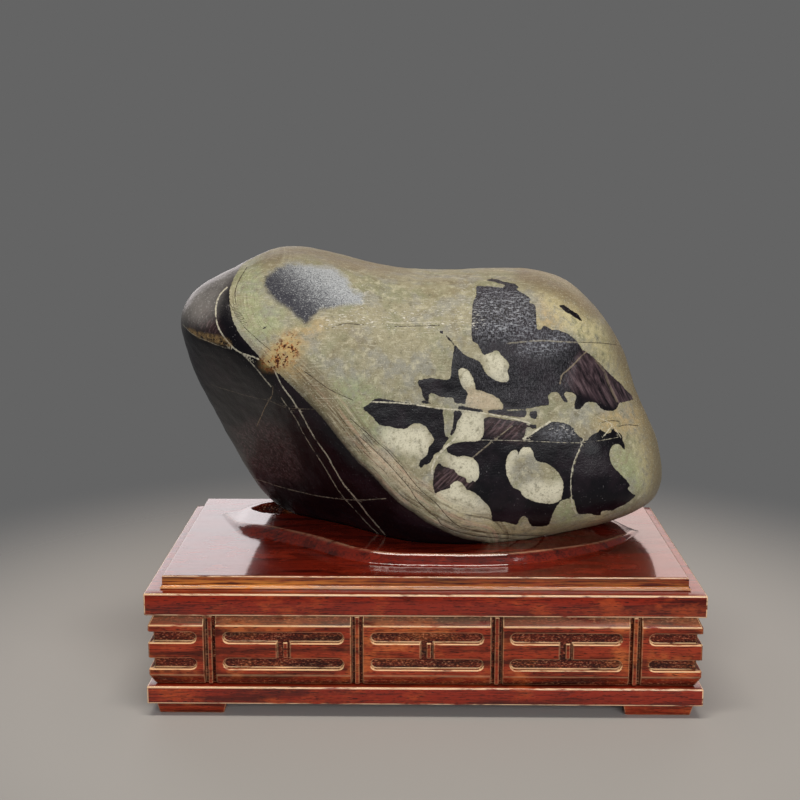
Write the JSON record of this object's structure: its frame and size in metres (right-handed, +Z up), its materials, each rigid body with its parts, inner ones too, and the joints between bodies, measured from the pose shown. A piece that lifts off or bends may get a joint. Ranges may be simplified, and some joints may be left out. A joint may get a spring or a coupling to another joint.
{
  "type": "viewing stone",
  "caption": "Smooth leaning river stone, dark and olive, resting in the carved leaf-shaped seat of a low red hardwood stand with fretwork rails and feet",
  "frame": {"origin": "middle of the stand's footprint, on the surface that its feet stand on", "axes": "+X to the right along the stand's length as the viewer faces the stone's picture face, +Y away from the viewer, +Z up"},
  "size_m": [0.36, 0.21, 0.2967],
  "materials": {
    "stone": "waterworn and lightly waxed, olive skin over a near-black body",
    "stand_wood": "glossy red-brown lacquer"
  },
  "bodies": {
    "root": {"stone": "stone", "seat_board": "stand_wood", "top_slab": "stand_wood", "frieze_front": "stand_wood", "frieze_right": "stand_wood", "frieze_back": "stand_wood", "frieze_left": "stand_wood", "plinth": "stand_wood", "foot_front_left": "stand_wood", "foot_front_right": "stand_wood", "foot_back_left": "stand_wood", "foot_back_right": "stand_wood"}
  },
  "joints": []
}
